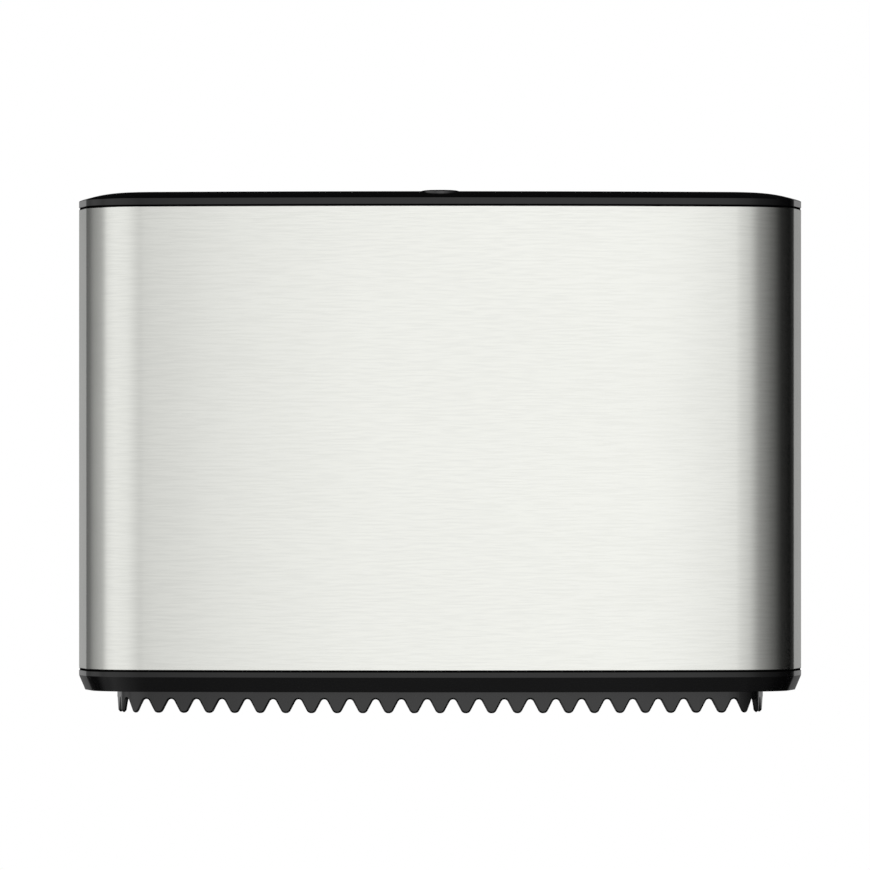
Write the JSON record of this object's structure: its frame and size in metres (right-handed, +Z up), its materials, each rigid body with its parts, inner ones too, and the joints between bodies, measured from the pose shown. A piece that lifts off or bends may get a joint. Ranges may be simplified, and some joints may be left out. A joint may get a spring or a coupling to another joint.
{
  "type": "jumbo toilet roll dispenser",
  "caption": "Wall-mounted cabinet for a jumbo toilet roll and a reserve roll: bowed brushed steel front, black cap with a lock button, toothed tear skirt.",
  "frame": {"origin": "on the wall face, midway across the dispenser and at the middle of the steel front's height", "axes": "+X across the front to the viewer's right, +Y back into the wall, +Z up"},
  "size_m": [0.375, 0.133, 0.2687],
  "materials": {
    "front_steel": "stainless sheet with a fine brushed grain that runs across the front",
    "cap_black": "glossy black moulded plastic",
    "button_black": "glossy black moulded plastic",
    "trim_black": "black moulded plastic, a little less glossy than the cap",
    "skirt_grey": "satin dark grey moulded plastic",
    "housing_black": "satin black moulded plastic",
    "liner_black": "satin black moulded plastic",
    "bracket_black": "satin black glass-filled plastic",
    "zinc": "bright zinc-plated steel",
    "spring_steel": "plain spring steel wire",
    "bare_steel": "turned steel",
    "plug_metal": "dull nickel-plated zinc casting",
    "lever_metal": "die-cast zinc",
    "hub_grey": "mid grey moulded plastic",
    "washer_white": "natural nylon"
  },
  "bodies": {
    "chassis": {"back_plate": "housing_black", "latch_keeper": "zinc", "keeper_screws": "zinc", "hinge_pin_left": "bare_steel", "hinge_pin_right": "bare_steel", "main_spindle": "bare_steel", "main_spindle_screws": "zinc", "main_end_cap": "trim_black", "brake_spring": "spring_steel", "brake_washer": "washer_white", "reserve_peg": "bare_steel", "reserve_peg_screws": "zinc", "reserve_end_cap": "trim_black"},
    "cover": {"steel_front": "front_steel", "cover_liner": "liner_black", "top_cap": "cap_black", "cap_screws": "zinc", "bottom_trim": "trim_black", "trim_screws": "zinc", "tear_skirt": "skirt_grey", "skirt_screws": "zinc", "latch_bracket": "bracket_black", "bracket_screws": "zinc", "latch_pivot_pin": "bare_steel", "latch_spring": "spring_steel"},
    "button": {"lock_button": "button_black"},
    "lock": {"key_plug": "plug_metal", "locking_cam": "zinc"},
    "latch": {"latch_lever": "lever_metal"},
    "main_hub": {"main_hub": "hub_grey"},
    "reserve_hub": {"reserve_hub": "hub_grey"}
  },
  "joints": [
    {"name": "cover_hinge", "type": "hinge", "parent": "chassis", "child": "cover", "pos_m": [0, -0.052, -0.123], "axis": [1, 0, 0], "range_deg": [0, 90]},
    {"name": "button_push", "type": "slide", "parent": "cover", "child": "button", "axis": [0, 0, -1], "range_m": [0, 0.0026], "stiffness_N_per_m": 800, "springref_m": -0.002},
    {"name": "key_turn", "type": "hinge", "parent": "button", "child": "lock", "pos_m": [0, -0.1135, 0.12], "axis": [0, 0, 1], "range_deg": [-90, 0]},
    {"name": "latch_pivot", "type": "hinge", "parent": "cover", "child": "latch", "pos_m": [0, -0.0895, 0.1056], "axis": [1, 0, 0], "range_deg": [0, 7.5], "deforming": ["latch_spring"]},
    {"name": "main_hub_spin", "type": "hinge", "parent": "chassis", "child": "main_hub", "pos_m": [0.07459, -0.06, 0.0119], "axis": [0, 1, 0], "continuous": true},
    {"name": "reserve_hub_spin", "type": "hinge", "parent": "chassis", "child": "reserve_hub", "pos_m": [-0.11459, -0.06, -0.03], "axis": [0, 1, 0], "continuous": true}
  ],
  "couplings": [
    {"joint": "latch_pivot", "follows": "button_push", "rad_per_m": 50}
  ]
}
